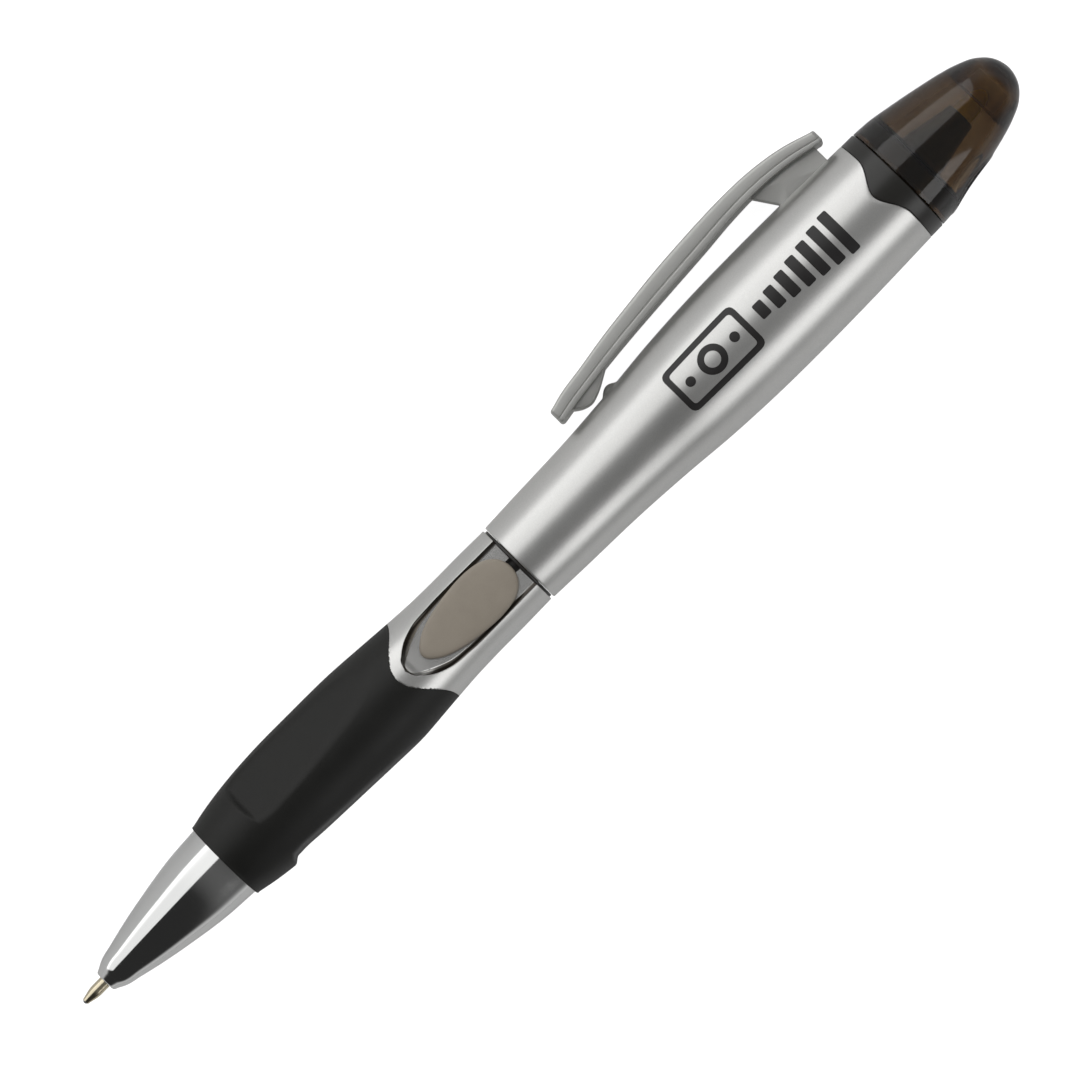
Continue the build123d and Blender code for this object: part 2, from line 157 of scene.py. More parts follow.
# %% Meshes from grids
def skin(grid, wrap_rows=False, wrap_columns=True):
    """Vertices and quads of a grid of points, closed in the directions that wrap round."""
    rows, columns = grid.shape[:2]
    index = np.arange(rows * columns).reshape(rows, columns)
    if wrap_rows:
        index = np.vstack([index, index[:1]])
    if wrap_columns:
        index = np.hstack([index, index[:, :1]])
    quads = np.stack([index[:-1, :-1], index[:-1, 1:], index[1:, 1:], index[1:, :-1]], -1)
    return grid.reshape(-1, 3), quads.reshape(-1, 4)


def make_piece(name, shells, body, slot, replaces=(), sharp=40):
    """One object from closed shells given in pen millimetres, laid on the desk and riding on its body."""
    vertices, faces, count = [], [], 0
    for points, quads in shells:
        a, b, c, d = (points[quads[:, k]] for k in range(4))
        volume = (np.cross(b - a, c - a) * a).sum() + (np.cross(c - a, d - a) * a).sum()
        vertices.append(points)
        faces.append((quads if volume > 0 else quads[:, ::-1]) + count)
        count += len(points)
    mesh = bpy.data.meshes.new(name)
    mesh.from_pydata(lay(np.concatenate(vertices)).tolist(), [], np.concatenate(faces).tolist())
    weld(mesh)
    mesh.polygons.foreach_set("use_smooth", np.ones(len(mesh.polygons), bool))
    mesh.set_sharp_from_angle(angle=math.radians(sharp))
    piece = bpy.data.objects.new(name, mesh)
    bpy.context.scene.collection.objects.link(piece)
    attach(piece, body)
    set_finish(piece, slot)
    if replaces:
        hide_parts(*replaces)
    print(f"{name}: {len(mesh.polygons)} faces")
    return piece


def weld(mesh):
    """Merge the points that fall together at seams and poles, and drop faces with no area left."""
    work = bmesh.new()
    work.from_mesh(mesh)
    bmesh.ops.remove_doubles(work, verts=work.verts, dist=2e-7)
    bmesh.ops.dissolve_degenerate(work, dist=1e-8, edges=work.edges)
    work.to_mesh(mesh)
    work.free()


def around(steps, extra=()):
    """Angles once round the pen, with a few extra ones where an edge has to fall."""
    even = np.linspace(0, 2 * np.pi, steps, endpoint=False)
    return np.unique(np.r_[even, np.mod(extra, 2 * np.pi)].round(6))


def turn(radius, angle, height):
    """Points at a radius, an angle and a height, as x, y and z."""
    radius, angle, height = np.broadcast_arrays(radius, angle, height)
    return np.stack([radius * np.cos(angle), radius * np.sin(angle), height], -1)


def turned(profile, steps=128, closed=True):
    """A solid of revolution: each profile point (radius, height) is carried once round the axis."""
    p = np.array(profile, float)
    return skin(turn(p[:, :1], around(steps)[None], p[:, 1:]), wrap_rows=closed)


# %% [markdown]
# ## The upper barrel
#
# The barrel is a moulded shell that swells to its widest where a hand holds it. Its rim dips in a
# rounded V at the front and at the back, where the smoke collar has two tongues. The shell is one
# grid: the profile runs up the outside, over the rim and down the inside, and the rim's rows sink by
# the V's depth. Two grid lines set close together make a step, so the clip's slot is a pocket whose
# edges fall on such pairs. A low round bump under the clip's foot is added to the radius.

# %% Upper barrel's outline and notch
BARREL_LOW = SEAM + SEAM_GAP
RIM, RIM_R, PARTING = 126.5, 7.1, 128.45
SPIGOT_LOW, SPIGOT_R = 118.0, 5.9
BARREL_LINE = [
    (5.4, BARREL_LOW), (5.57, 73.2), (5.86, 82.1), (6.3, 88.7), (6.9, 95.4),
    (7.25, 102.0), (7.37, 110.0), (7.3, 118.0), (RIM_R, RIM),
]
NOTCH_DEPTH, NOTCH_REACH = 1.75, 4.3


def notch(angle):
    """Depth of the rim's V: a cosine bell of the distance across, drawn in a little towards its tip."""
    across = np.minimum(np.abs(RIM_R * np.cos(angle)) / NOTCH_REACH, 1)
    return NOTCH_DEPTH * (0.5 + 0.5 * np.cos(np.pi * across**0.92))


def sink(height, angle):
    """Heights near the rim, lowered with the notch; the spigot's lower end stays where it is."""
    share = np.clip((height - SPIGOT_LOW) / (RIM - SPIGOT_LOW), 0, 1)
    return height - notch(angle) * share


# %% Upper barrel's grid
SLOT_HALF, SLOT_LOW, SLOT_HIGH = 1.2, 116.9, 124.7
SLOT_FLOOR, SLOT_OUTSIDE, SLOT_STEP = 6.0, 7.2, 0.03
socket_r = SPIGOT_R + 0.02

slot_angle = SLOT_HALF / SLOT_OUTSIDE
angle = around(256, np.array([-1, -0.98, 0.98, 1]) * slot_angle)[None]
wall = np.unique(np.r_[
    np.linspace(BARREL_LOW + 0.25, RIM - 0.2, 120), np.linspace(86.8, 91.8, 26),
    SLOT_LOW, SLOT_LOW + SLOT_STEP, SLOT_HIGH - SLOT_STEP, SLOT_HIGH,
])
lower_edge = rounded([(3.1, BARREL_LOW), (5.38, BARREL_LOW), (5.42, wall[0])], 0.25)
rim_edge = rounded([(RIM_R, RIM - 0.2), (RIM_R, RIM), (socket_r, RIM)], 0.16)
inside = [
    (socket_r, RIM), (socket_r, SPIGOT_LOW), (5.42, SPIGOT_LOW), (5.42, 92.0),
    (4.32, 92.0), (4.32, 71.0), (3.1, 71.0),
]
column = np.vstack([lower_edge[:-1], np.stack([0 * wall, wall], 1), rim_edge[1:-1], inside])
height = sink(column[:, 1:], angle)
on_wall = np.broadcast_to(column[:, :1] == 0, height.shape)
radius = np.where(on_wall, radius_at(height, BARREL_LINE), column[:, :1] + 0 * angle)
print("barrel's grid:", radius.shape)

# %% Bump and slot
BUMP_Z, BUMP_HIGH, BUMP_WIDE, BUMP_R = 89.3, 0.62, 1.25, 6.3

curl = np.angle(np.exp(1j * angle))
away = ((height - BUMP_Z) ** 2 + (BUMP_R * curl) ** 2) / BUMP_WIDE**2
radius = radius + on_wall * BUMP_HIGH * np.clip(1 - away, 0, 1) ** 1.3
in_slot = (height > SLOT_LOW + SLOT_STEP / 3) & (height < SLOT_HIGH - SLOT_STEP / 3)
in_slot &= on_wall & (np.abs(curl) < 0.99 * slot_angle)
radius = np.where(in_slot, SLOT_FLOOR, radius)
upper_shell = skin(turn(radius, angle, height), wrap_rows=True)
make_piece("upper_shell", [upper_shell], "barrel", "silver_paint", ["upper_barrel"])

# %% [markdown]
# ## The smoke collar
#
# The collar closes the barrel's rim. Seen from outside it is a narrow dark band whose lower edge
# follows the rim, tongues and all, a hair's width away from it, and whose upper edge is level. So the
# band's rows sink with the notch less and less towards the cap. It goes down into the barrel as a
# spigot and up into the cap as a neck.

# %% Collar
COLLAR_R, COLLAR_LOW, COLLAR_TOP = 7.08, RIM + 0.04, PARTING - 0.12
NECK_R, NECK_TOP = 5.2, 131.2

collar = rounded(
    [(3.0, SPIGOT_LOW + 1), (SPIGOT_R, SPIGOT_LOW + 1), (SPIGOT_R, COLLAR_LOW), (COLLAR_R, COLLAR_LOW),
     (COLLAR_R - 0.02, COLLAR_TOP), (NECK_R, COLLAR_TOP), (NECK_R, NECK_TOP), (3.0, NECK_TOP)],
    [0, 0.1, 0.02, 0.12, 0.12, 0.1, 0.35, 0], closed=True)
angle = around(256)[None]
level = np.clip((collar[:, 1:] - COLLAR_LOW) / (COLLAR_TOP - 0.18 - COLLAR_LOW), 0, 1)
collar_z = level * collar[:, 1:] + (1 - level) * sink(collar[:, 1:], angle)
collar_shell = skin(turn(collar[:, :1], angle, collar_z), wrap_rows=True)
make_piece("smoke_collar", [collar_shell], "barrel", "smoke_collar", ["marker_collar"])

# %% [markdown]
# ## The cap
#
# The cap is a thick translucent dome. On the side away from the clip it has an oval dish with a
# slightly raised lip. The dish is a drop in the radius inside an ellipse, eased over a short
# distance, and the lip is a narrow ridge along the ellipse.

# %% Cap's profile
MOUTH_R, CAP_TOP = 7.05, 145.95
CAP_LINE = [
    (MOUTH_R, PARTING), (6.86, 130.9), (6.48, 133.1), (6.06, 135.3), (5.6, 137.5), (5.07, 139.8),
    (4.4, 142.0), (3.45, 144.0), (1.9, 145.45), (0, CAP_TOP), (-1.9, 145.45),
]
fit_r = NECK_R + 0.1


def ease(x):
    """From 0 to 1 with no slope at either end: 3x^2 - 2x^3, held outside that range."""
    x = np.clip(x, 0, 1)
    return x * x * (3 - 2 * x)


cap_outside = outline(CAP_LINE, 170)
cap_outside = np.vstack([cap_outside[cap_outside[:, 0] > 0.02], (0, CAP_TOP)])
mouth = rounded([(fit_r, PARTING + 0.5), (fit_r, PARTING), (MOUTH_R, PARTING), cap_outside[2]], 0.14)
cavity = [
    (0, 143.6), (1.9, 143.55), (2.3, 143.2), (2.5, 140.5), (3.2, 140.2), (3.9, 138.0), (4.9, 132.6),
    (fit_r, 131.6),
]
column = np.vstack([mouth[:-1], cap_outside[2:], cavity])
print("points along the cap's profile:", len(column))

# %% Cap's dish
DISH_Z, DISH_LONG, DISH_WIDE, DISH_DEEP = 133.85, 3.45, 1.9, 0.6
DISH_R, LIP_HIGH = 6.3, 0.07

angle = around(300)[None]
from_back = np.angle(-np.exp(1j * angle))
outside = np.zeros((len(column), 1), bool)
outside[len(mouth):len(mouth) + len(cap_outside) - 3] = True
oval = np.hypot((column[:, 1:] - DISH_Z) / DISH_LONG, DISH_R * np.sin(from_back) / DISH_WIDE)
oval = np.where(np.cos(from_back) > 0, oval, 9)
lip = LIP_HIGH * np.exp(-(((oval - 1.08) / 0.09) ** 2))
dish = DISH_DEEP * ease((1.0 - oval) / 0.22) - lip
radius = column[:, :1] - outside * dish
cap_shell = skin(turn(radius, angle, column[:, 1:]))
make_piece("smoke_cap", [cap_shell], "cap", "smoke_cap", ["marker_cap"])

# %% [markdown]
# ## Nib and nib holder
#
# Under the cap a dark tapered holder carries a felt nib with a rounded point. Both are turned
# shapes; the felt's fibres are left to its material.

# %% Nib and holder
NIB_R, HOLDER_END = 1.3, 138.3

holder = rounded(
    [(NIB_R, 122.0), (4.7, 122.0), (4.7, 124.0), (3.0, 124.0), (3.0, NECK_TOP), (3.5, NECK_TOP),
     (3.5, 131.9), (2.9, 132.6), (2.05, 136.5), (1.75, HOLDER_END), (NIB_R, HOLDER_END)],
    0.2, closed=True)
make_piece("tapered_holder", [turned(holder)], "barrel", "black_moulding", ["nib_holder"])
point = outline([(NIB_R, 138.9), (1.27, 139.6), (1.02, 140.7), (0.55, 141.4), (0, 141.6)], 16)
stem = np.stack([np.full(12, NIB_R), np.linspace(117, 138.6, 12)], 1)
nib = np.vstack([[(0, 116.0), (NIB_R, 116.0)], stem, point])
make_piece("felt_nib", [turned(nib, 64, closed=False)], "barrel", "amber_felt", ["marker_nib"])

# %% [markdown]
# ## The chrome nose
#
# A slim ogive, turned and plated. Its open end is rounded into the bore that the refill's point
# comes out of, and behind it the bore widens. The row of points close behind the end keeps the
# rounding tight and the long side fair.

# %% Nose
NOSE_Z, GRIP_Z = 3.35, 22.2
NOSE_LINE = [
    (1.45, NOSE_Z + 0.35), (1.93, 4.6), (2.45, 6.6), (3.0, 8.9), (3.85, 13.3), (4.5, 17.6), (4.82, GRIP_Z),
]
ogive = np.linspace(NOSE_Z + 0.35, GRIP_Z, 70)
nose_side = np.stack([radius_at(ogive, NOSE_LINE), ogive], 1)
nose_end = rounded(
    [(0.9, 4.6), (0.9, NOSE_Z), (1.3, NOSE_Z), tuple(nose_side[1])], [0, 0.12, 0.3, 0], steps=7)
nose_back = [(3.9, GRIP_Z), (3.9, 31.0), (2.4, 31.0), (2.4, 14.0), (1.45, 13.0), (1.45, 5.2)]
nose = np.vstack([nose_end[:-1], nose_side[1:], nose_back])
make_piece("chrome_nose", [turned(nose, 160)], "front", "nose_chrome", ["nose_cone"])

# %% [markdown]
# ## The lower barrel and its two recesses
#
# The short silver barrel has a recess in each side: a boat outline, pointed at its lower end, over a
# flat floor. A boolean cut would leave long thin faces along that outline. Instead the grid is bent
# to follow it: a fixed share of the columns lies inside the outline at every height, so the edge
# always runs along the columns, and the wall is the narrow strip where the radius drops to the
# floor. Below the grip's wavy edge the surface sinks, so that the rubber hides it.

# %% Lower barrel
WAVE_LOW, WAVE_RISE = 50.0, 3.5
FRONT_LINE = [
    (5.1, GRIP_Z), (5.55, 24.4), (6.1, 28.5), (6.38, 33.0), (6.4, 39.0), (6.3, 45.0),
    (6.02, 49.0), (5.69, 53.3), (5.48, 56.5), (5.39, 60.0), (5.39, 64.0), (5.33, SEAM),
]
WAVE_SINK, SLEEVE_LOW, FRONT_BORE = 0.7, WAVE_LOW - 0.6, 3.02
FLAT, BOAT_LOW, RAMP, RAMP_END = 3.9, 51.3, 2.5, 5.2
BOAT_Z = [BOAT_LOW, 51.6, 52.2, 53.0, 55.0, 58.0, 62.0, 66.0, 69.0]
BOAT_HALF = [0.0, 0.92, 1.58, 2.22, 3.12, 3.48, 3.55, 3.5, 3.5]
WALL_WIDE = 0.28
CUT_HALF, CUT_DEEP = 0.85, 0.8


def wave(angle):
    """Height of the grip's upper edge: low at front and back, an S that levels off at the sides."""
    return WAVE_LOW + WAVE_RISE * ease(np.abs(np.cos(angle)) ** 1.15)


def boat(height):
    """Half the recess's width at a height, read off a fair curve; nothing below its pointed end."""
    return np.where(height > BOAT_LOW, fair(height, BOAT_Z, BOAT_HALF), 0)


def floor_distance(height):
    """How far the recess floor lies from the axis: flat, but climbing an arc at its lower end."""
    t = np.clip((height - BOAT_LOW) / RAMP, 0, 1)
    return FLAT + (RAMP_END - FLAT) * (1 - np.sqrt(np.clip(1 - (1 - t) ** 2, 0, 1)))


def columns_along(height, inside, outside):
    """Angles of one quarter turn from a recess's middle: shares inside its outline, then outside it."""
    half = np.arcsin(np.maximum(boat(height), 0.02) / radius_at(height, FRONT_LINE))
    return np.concatenate([inside * half, half + outside * (np.pi / 2 - half)], 1)


# %% Lower barrel's grid
heights = np.unique(np.r_[
    np.linspace(SLEEVE_LOW, BOAT_LOW - 0.1, 16), np.linspace(BOAT_LOW - 0.05, 54.5, 44),
    np.linspace(54.5, SEAM - 1, 56), np.linspace(SEAM - 1, SEAM - 0.25, 8),
])[:, None]
cut_share = math.atan(CUT_HALF / FLAT) / math.asin(3.5 / 5.35)
inner_share = np.unique(np.r_[
    np.linspace(0, 0.88, 23), cut_share - 0.004, cut_share + 0.004, np.linspace(0.9, 0.995, 12),
])[None]
outer_share = np.r_[np.linspace(0, 0.06, 6), np.linspace(0.08, 1, 36)][None]
quarter = columns_along(heights, inner_share, outer_share)
quarters = [
    quarter[:, :-1], np.pi - quarter[:, :0:-1],
    np.pi + quarter[:, :-1], 2 * np.pi - quarter[:, :0:-1],
]
angle = np.concatenate(quarters, 1) + np.pi / 2
barrel_z = heights + 0 * angle
round_r = radius_at(barrel_z, FRONT_LINE)
from_edge = boat(barrel_z) - round_r * np.abs(np.cos(angle))
depth = np.clip(round_r - floor_distance(barrel_z) / np.maximum(np.abs(np.sin(angle)), 0.3), 0, None)
barrel_r = round_r - depth * ease(from_edge / WALL_WIDE)
barrel_r = barrel_r - WAVE_SINK * ease((wave(angle) + 0.02 - barrel_z) / 0.22)
print("lower barrel's grid:", barrel_r.shape)

# %% Rounded end, cut and bore
lip = rounded([(0, 0), (0, 0.25), (-0.6, 0.25)], 0.22, steps=5)[1:]
lip_r = barrel_r[-1] + lip[:, :1]
lip_z = barrel_z[-1] + lip[:, 1:]
inner_r = FRONT_BORE + 0 * angle[:2]
inner_z = np.array([[SEAM], [SLEEVE_LOW]]) + 0 * angle[:2]
shell_r = np.vstack([barrel_r, lip_r, inner_r])
shell_z = np.vstack([barrel_z, lip_z, inner_z])
shell_angle = np.vstack([angle, np.repeat(angle[-1:], len(lip) + 2, 0)])
in_cut = np.abs(np.cos(shell_angle)) < math.sin(math.atan(CUT_HALF / FLAT))
shell_z = np.where(in_cut & (shell_z > SEAM - CUT_DEEP), SEAM - CUT_DEEP, shell_z)
lower_shell = make_piece(
    "lower_shell", [skin(turn(shell_r, shell_angle, shell_z), wrap_rows=True)],
    "front", "silver_paint", ["lower_barrel"], sharp=50,
)

# %% [markdown]
# ### Where the recess is, for its finish
#
# The recess has a smoother floor, and a band along its edge is painted dark as the shade that falls in its
# groove. Both lie on the same moulding, so the finish has to know where they are: two numbers are kept
# at every point of the mesh, worked out from how far the point lies inside the outline and below the round barrel.

# %% Masks on the recess
# the painted groove shade: how far in from the recess's edge it reaches, and how it fades out
GROOVE_SHADE_WIDE, GROOVE_SHADE_FADE = 0.40, 0.30


def pen_points(piece):
    """The piece's points in pen millimetres, which is `lay` undone."""
    flat = np.empty(len(piece.data.vertices) * 3)
    piece.data.vertices.foreach_get("co", flat)
    return (flat.reshape(-1, 3) - ball_end) @ pen_axes.T * 1000


def paint_mask(piece, name, values):
    """One number from 0 to 1 for each point, kept on the mesh for the finish to read."""
    layer = piece.data.attributes.new(name, "FLOAT", "POINT")
    layer.data.foreach_set("value", np.asarray(values, np.float32))


x, y, z = pen_points(lower_shell).T
inside_edge = boat(z) - np.abs(x)
below = radius_at(z, FRONT_LINE) - np.hypot(x, y)
in_recess = ease(inside_edge / 0.08) * ease(below / 0.05)
paint_mask(lower_shell, "recess", in_recess)
# painted shade: a dark band just inside the recess's edge, where its groove is shaded
paint_mask(lower_shell, "groove_shade", in_recess * (1 - ease((inside_edge - GROOVE_SHADE_WIDE) / GROOVE_SHADE_FADE)))
print("points in the recesses:", int((in_recess > 0.5).sum()))

# %% [markdown]
# ## The inlays
#
# An egg-shaped pad fills each recess. Its plan is a closed curve, widest towards the seam; rings of
# that curve, each a little smaller and higher, make the rounded edge and the low crown.

# %% Inlays
EGG_LOW, EGG_HIGH, EGG_WIDE = 53.8, 67.75, 3.15
EGG_SHARES = [0, 0.30, 0.61, 0.83, 0.962, 1.0, 0.873, 0.52, 0]
PAD_THICK = 0.95


def egg(count):
    """A closed egg: its height runs as a cosine, and its half width is a fair curve through shares."""
    t = np.linspace(0, 2 * np.pi, count, endpoint=False)
    middle, half = (EGG_LOW + EGG_HIGH) / 2, (EGG_HIGH - EGG_LOW) / 2
    up_one_side = np.where(t < np.pi, t, 2 * np.pi - t)
    wide = EGG_WIDE * fair(up_one_side, np.linspace(0, np.pi, 9), EGG_SHARES)
    return np.stack([wide * np.where(t < np.pi, 1, -1), middle - half * np.cos(t)], 1)


rim_share = np.array([1, 1, 0.985, 0.955, 0.91, 0.85, 0.7, 0.5, 0.3, 0.12, 0])
rise = np.array([0, 0.62, 0.74, 0.81, 0.86, 0.90, 0.94, 0.965, 0.985, 0.996, 1]) * PAD_THICK
plan = egg(96)
heart = np.array([0, 61.8])
rings = heart + rim_share[:, None, None] * (plan - heart)
under = np.broadcast_to(heart, plan.shape)
for name, node, turn_way in (("front_pad", "front_inlay", 1), ("back_pad", "back_inlay", -1)):
    wide = np.vstack([under[None, :, 0], rings[:, :, 0]])
    high = np.vstack([under[None, :, 1], rings[:, :, 1]])
    out = np.r_[0, rise][:, None] + FLAT + 0 * wide
    pad = np.stack([turn_way * wide, turn_way * out, high], -1)
    make_piece(name, [skin(pad)], "front", "taupe_inlay", [node], sharp=60)

# %% [markdown]
# ## The rubber grip
#
# The grip follows the same outline as the barrel. Three shallow flats are pressed into it for the
# fingers; each starts with a short step at the writing end and runs out towards the seam. Where a
# flat meets the round the rubber is softly rounded, so the two distances are joined by the smooth
# minimum: the smaller of the two, less a little where they are nearly equal.

# %% Grip
FLAT_ANGLES = np.radians([60, 180, 300])
FINGER_LINE = [
    (6.5, 27.0), (6.2, 27.35), (5.3, 28.15), (5.22, 28.8), (5.36, 32.5), (5.55, 36.5), (5.75, 40.5),
    (6.1, 46.0), (6.6, 50.0), (7.2, 53.6),
]
SLEEVE_R = 4.6

angle = around(288)[None]
rows = np.unique(np.r_[
    np.linspace(GRIP_Z + 0.3, 27, 22), np.linspace(27, 28.8, 26),
    np.linspace(28.8, 50, 80), np.linspace(50, 53.3, 14),
])[:, None]
grip_z = rows + (wave(angle) - WAVE_LOW - WAVE_RISE) * ease((rows - 40) / 13.5)
finger = np.full(grip_z.shape, 99.0)
for middle in FLAT_ANGLES:
    facing = np.cos(angle - middle)
    finger = np.where(facing > 0.3, radius_at(grip_z, FINGER_LINE) / np.maximum(facing, 0.3), finger)
grip_r = smooth_min(radius_at(grip_z, FRONT_LINE), finger, 0.35)
print("flats pressed", round(float((radius_at(grip_z, FRONT_LINE) - grip_r).max()), 2), "mm deep")

# %% Grip's ends and bore
toe = rounded([(0, 0), (0, -0.3), (-0.5, -0.3)], 0.28, steps=6)[:0:-1]
top = rounded([(0, 0), (0, 0.2), (-0.6, 0.2)], 0.14, steps=5)[1:]
grip_r = np.vstack([grip_r[0] + toe[:, :1], grip_r, grip_r[-1] + top[:, :1]])
grip_z = np.vstack([grip_z[0] + toe[:, 1:], grip_z, grip_z[-1] + top[:, 1:]])
bore = SLEEVE_R + np.zeros((2, 1)) * angle
bore_z = np.vstack([grip_z[-1:], grip_z[:1]])
grip_shell = skin(turn(np.vstack([grip_r, bore]), angle, np.vstack([grip_z, bore_z])), wrap_rows=True)
make_piece("rubber_grip", [grip_shell], "front", "grip_rubber", ["grip"])

# %% [markdown]
# ## The clip
#
# The clip is an arched plate with a moulded bead along its outer edges, a foot at its free end and
# a web that goes into the barrel. The plate's section is a ring of points: across, they are a share
# of the half width, and in height they run from the inner to the outer curve of the arch. Carrying
# that ring along the arch makes the plate, and the last few rings shrink to close its ends. The
# foot and the web are slabs with rounded edges.

# %% Clip plate
CLIP_OUTER = [
    (9.3, 83.3), (9.75, 85.0), (10.3, 88.7), (11.0, 93.2), (11.5, 97.6), (11.95, 102.0),
    (12.24, 106.5), (12.42, 111.0), (12.44, 114.0), (12.25, 117.6), (11.5, 122.0), (10.45, 125.3),
]
CLIP_INNER = [
    (7.4, 83.3), (7.75, 85.5), (8.45, 91.0), (8.86, 95.4), (9.25, 101.0), (9.7, 108.0),
    (10.05, 112.5), (10.12, 116.5), (9.65, 121.5), (8.85, 125.3),
]
CLIP_HALF, CLIP_TOE_HALF = 2.35, 1.9
LOW_END, HIGH_END, END_PUSH = 83.35, 125.2, 0.45
PLATE_HIGH = 2.3

half_section = rounded(
    [(0.0, 0.0), (2.4, 0.0), (2.4, 0.66), (2.27, 0.76), (2.4, 0.86), (2.4, PLATE_HIGH),
     (0.0, PLATE_HIGH + 0.06)],
    [0, 0.22, 0.05, 0.05, 0.05, 0.45, 0], steps=6)
section = np.vstack([half_section, half_section[-2:0:-1] * [-1, 1]]) / [CLIP_HALF, PLATE_HIGH]


def clip_rows(along, shrink, push):
    """Rings of the plate: the section scaled to the plate at each height, shrunk about its middle."""
    half = CLIP_TOE_HALF + (CLIP_HALF - CLIP_TOE_HALF) * ease((along - 83) / 32)
    low, high = radius_at(along, CLIP_INNER), radius_at(along, CLIP_OUTER)
    across = shrink * half * section[:, 0]
    rise = low + (high - low) * (0.5 + shrink * (section[:, 1] - 0.5))
    return np.stack([rise, across, along + push + 0 * rise], -1)


# %% Clip plate's ends
bend = np.linspace(0, np.pi / 2, 6)[:, None]
end_shrink, end_push = 1 - 0.3 * (1 - np.cos(bend)), END_PUSH * np.sin(bend)
low_end = clip_rows(LOW_END + 0 * bend[::-1], end_shrink[::-1], -end_push[::-1])
middle = clip_rows(np.linspace(LOW_END, HIGH_END, 110)[1:-1, None], 1.0, 0.0)
high_end = clip_rows(HIGH_END + 0 * bend, end_shrink, end_push)
low_pole = clip_rows(np.full((1, 1), LOW_END), 1e-5, -END_PUSH)
high_pole = clip_rows(np.full((1, 1), HIGH_END), 1e-5, END_PUSH)
plate = np.concatenate([low_pole, low_end, middle, high_end, high_pole])
print("clip plate:", len(plate), "rings")


# %% Slabs with rounded edges
def slab(profile, half_thick, edge, steps=5):
    """A flat part of a closed outline (radius, height), with a quarter round along its edges.

    Each ring of the edge lies edge*(1-cos t) inside the outline and edge*sin t further out, and the
    two faces close on the outline's middle.
    """
    p = np.array(profile, float)
    ahead, behind = np.roll(p, -1, 0), np.roll(p, 1, 0)
    tangent = ahead - behind
    normal = np.stack([tangent[:, 1], -tangent[:, 0]], 1) / np.linalg.norm(tangent, axis=1, keepdims=True)
    turning = (p[:, 0] * ahead[:, 1] - p[:, 1] * ahead[:, 0]).sum()
    normal *= np.sign(turning)
    t = np.linspace(0, np.pi / 2, steps)[:, None, None]
    inward = p - normal * edge * (1 - np.cos(t))
    out = half_thick - edge + edge * np.sin(t[:, :, 0]) + 0 * p[:, 0]
    middle = np.broadcast_to(p.mean(0), p.shape)[None]
    half = np.concatenate([inward, middle])
    half_out = np.vstack([out, out[-1:]])
    flat = np.concatenate([half[::-1], half])
    thick = np.vstack([-half_out[::-1], half_out])
    return skin(np.stack([flat[..., 0], thick, flat[..., 1]], -1))


# %% Foot and web
FOOT = [(9.0, 84.6), (9.0, 91.0), (8.55, 91.0), (7.15, 88.5), (6.6, 86.9), (7.0, 85.6), (7.8, 84.6)]
WEB = [
    (11.0, 115.2), (10.4, 115.2), (7.45, 117.15), (6.12, 117.15), (6.12, 124.45), (9.4, 124.45),
    (11.0, 123.0),
]
foot = slab(rounded(FOOT, [0.3, 0.2, 0.2, 0.9, 1.2, 0.8, 0.3], closed=True, steps=7), 1.35, 0.25)
web = slab(rounded(WEB, [0.2, 0.2, 0.15, 0.15, 0.15, 0.15, 0.2], closed=True), 1.0, 0.12)
make_piece("arched_clip", [skin(plate), foot, web], "clip", "clip_grey", ["clip"], sharp=50)

# %% [markdown]
# ## The refill's point, the ball and the seam washer
#
# The writing point is a turned cone that is crimped round the ball. The washer is a dark ring that
# fills the seam, with its edge rounded.

# %% Point, ball and washer
needle = rounded(
    [(0.2, 0.5), (0.3, 0.24), (0.39, 0.2), (0.43, 0.42), (0.725, 1.65), (0.725, 5.3), (1.15, 5.8),
     (1.15, 10.5), (0.95, 10.5), (0.95, 14.0), (0.2, 14.0)],
    [0.02, 0.05, 0.05, 0.05, 0.4, 0.15, 0.2, 0.1, 0.05, 0.1, 0.05], closed=True)
make_piece("writing_point", [turned(needle, 72)], "refill", "tip_alloy", ["refill_tip"])

BALL_R = 0.35
meridian = np.linspace(0, np.pi, 25)
ball = np.stack([BALL_R * np.sin(meridian), BALL_R - BALL_R * np.cos(meridian)], 1)
make_piece("rolling_ball", [turned(ball, 48, closed=False)], "ball", "ball_carbide", ["writing_ball"])

WASHER_IN, WASHER_OUT = 3.0, 5.05
washer_top = BARREL_LOW - 0.05
washer = rounded(
    [(WASHER_IN, SEAM), (WASHER_OUT, SEAM), (WASHER_OUT, washer_top), (WASHER_IN, washer_top)],
    0.08, closed=True)
make_piece("dark_washer", [turned(washer, 128)], "front", "black_moulding", ["seam_washer"])

# %% [markdown]
# ## A printed mark
#
# The barrel carries a plain black print: a banknote drawn as a frame with a ring and two dots, and
# a row of bars that grow like a light reading. It is only shapes, with no letters. Each shape is a
# film of ink three hundredths of a millimetre high, bent round the barrel: across, a distance on the
# barrel is an angle, and the film's radius is the barrel's plus the ink.

# %% Print
INK = 0.03
PRINT_MIDDLE, PRINT_R = np.pi / 2, 7.3


def film(loops):
    """A thin closed sheet between two loops of the same number of points, wrapped on the barrel."""
    outer, inner = (np.array(loop, float) for loop in loops)
    share = np.linspace(0, 1, 9)[:, None, None]
    plan = outer + (inner - outer) * share
    across, height = plan[..., 0], plan[..., 1]
    ground = radius_at(height, BARREL_LINE)
    angle = PRINT_MIDDLE - across / PRINT_R
    top = turn(ground + INK, angle, height)
    back = turn(ground - INK, angle, height)
    return skin(np.concatenate([top, back[::-1]]), wrap_rows=True)


